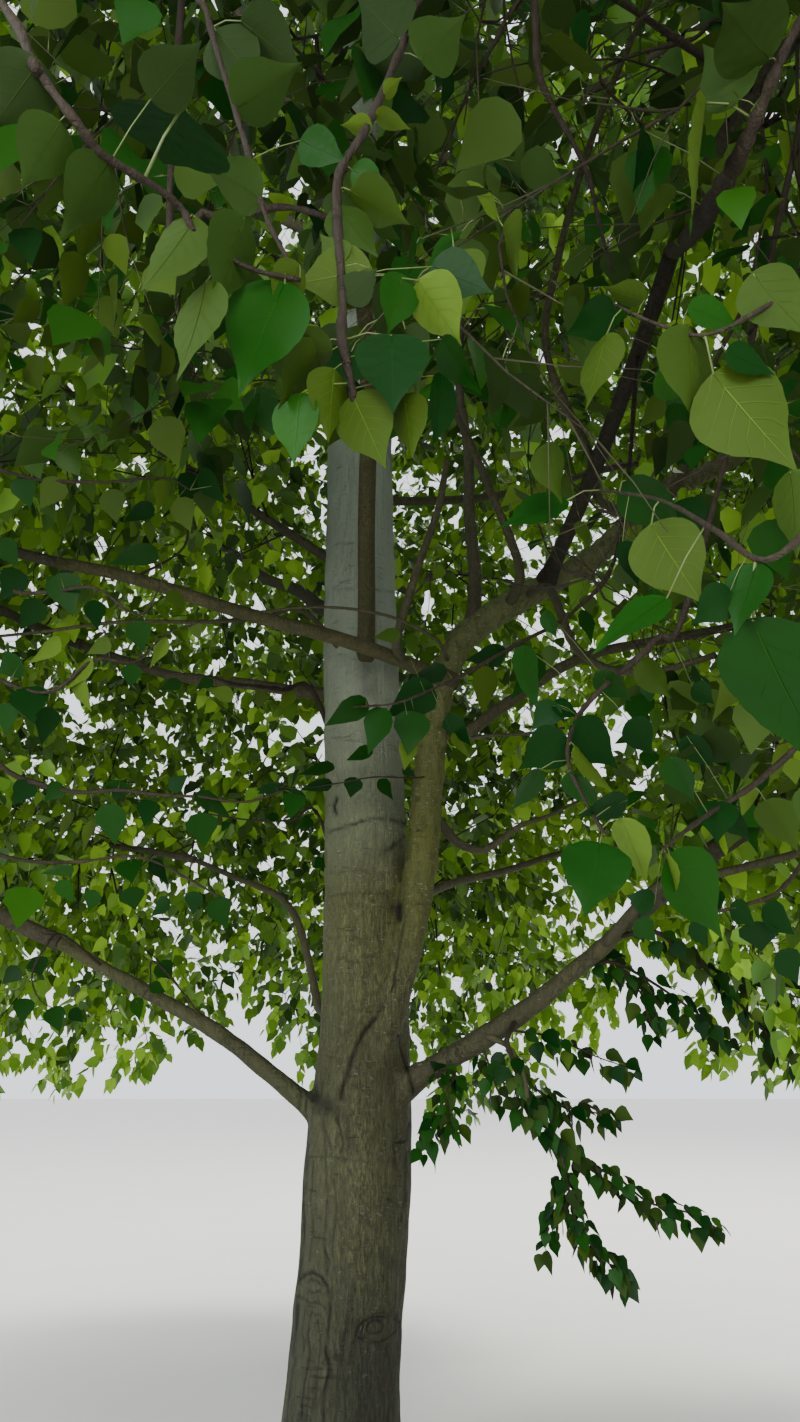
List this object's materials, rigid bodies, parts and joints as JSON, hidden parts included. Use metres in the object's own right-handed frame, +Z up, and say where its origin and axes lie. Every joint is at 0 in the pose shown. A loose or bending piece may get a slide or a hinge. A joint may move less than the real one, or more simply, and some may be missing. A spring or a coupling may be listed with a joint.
{
  "type": "balsam poplar tree",
  "caption": "Whole balsam poplar in summer leaf: a straight trunk, a leaning second stem, spreading boughs and masses of broad leaves.",
  "frame": {"origin": "centre of the flat cut under the trunk, at ground level", "axes": "+Z up the trunk; -Y towards the side where the opening in the foliage shows the trunk; the two lowest boughs leave to -X and +X"},
  "size_m": [8.7222, 8.9303, 14.3082],
  "materials": {
    "trunk_bark": "smooth grey-tan bark with fine fissures low down",
    "bough_bark": "smooth grey-brown bark",
    "foliage": "green leaves, satin above and paler matte below"
  },
  "bodies": {
    "root": {"bough_back": "bough_bark", "bough_back_left": "bough_bark", "bough_back_right": "bough_bark", "bough_front": "bough_bark", "bough_front_right": "bough_bark", "bough_hanging_right": "bough_bark", "bough_left": "bough_bark", "bough_left_front": "bough_bark", "bough_low_back": "bough_bark", "bough_low_back_left": "bough_bark", "bough_low_back_right": "bough_bark", "bough_low_left": "bough_bark", "bough_low_right": "bough_bark", "bough_right_front": "bough_bark", "bough_upper_1": "bough_bark", "bough_upper_2": "bough_bark", "bough_upper_3": "bough_bark", "bough_upper_4": "bough_bark", "bough_upper_5": "bough_bark", "bough_upper_6": "bough_bark", "bough_upright": "bough_bark", "foliage_at_fork": "foliage", "foliage_back": "foliage", "foliage_back_left": "foliage", "foliage_back_right": "foliage", "foliage_front": "foliage", "foliage_front_right": "foliage", "foliage_hanging_right": "foliage", "foliage_high_1": "foliage", "foliage_high_2": "foliage", "foliage_high_3": "foliage", "foliage_high_4": "foliage", "foliage_inner_back": "foliage", "foliage_inner_left": "foliage", "foliage_left": "foliage", "foliage_left_front": "foliage", "foliage_low_back": "foliage", "foliage_low_back_left": "foliage", "foliage_low_back_right": "foliage", "foliage_low_left": "foliage", "foliage_low_right": "foliage", "foliage_right": "foliage", "foliage_right_front": "foliage", "foliage_top": "foliage", "foliage_upper_1": "foliage", "foliage_upper_2": "foliage", "foliage_upper_3": "foliage", "foliage_upper_4": "foliage", "foliage_upper_5": "foliage", "foliage_upper_6": "foliage", "foliage_upright": "foliage", "second_stem_lower": "bough_bark", "second_stem_upper": "bough_bark", "trunk": "trunk_bark"}
  },
  "joints": []
}
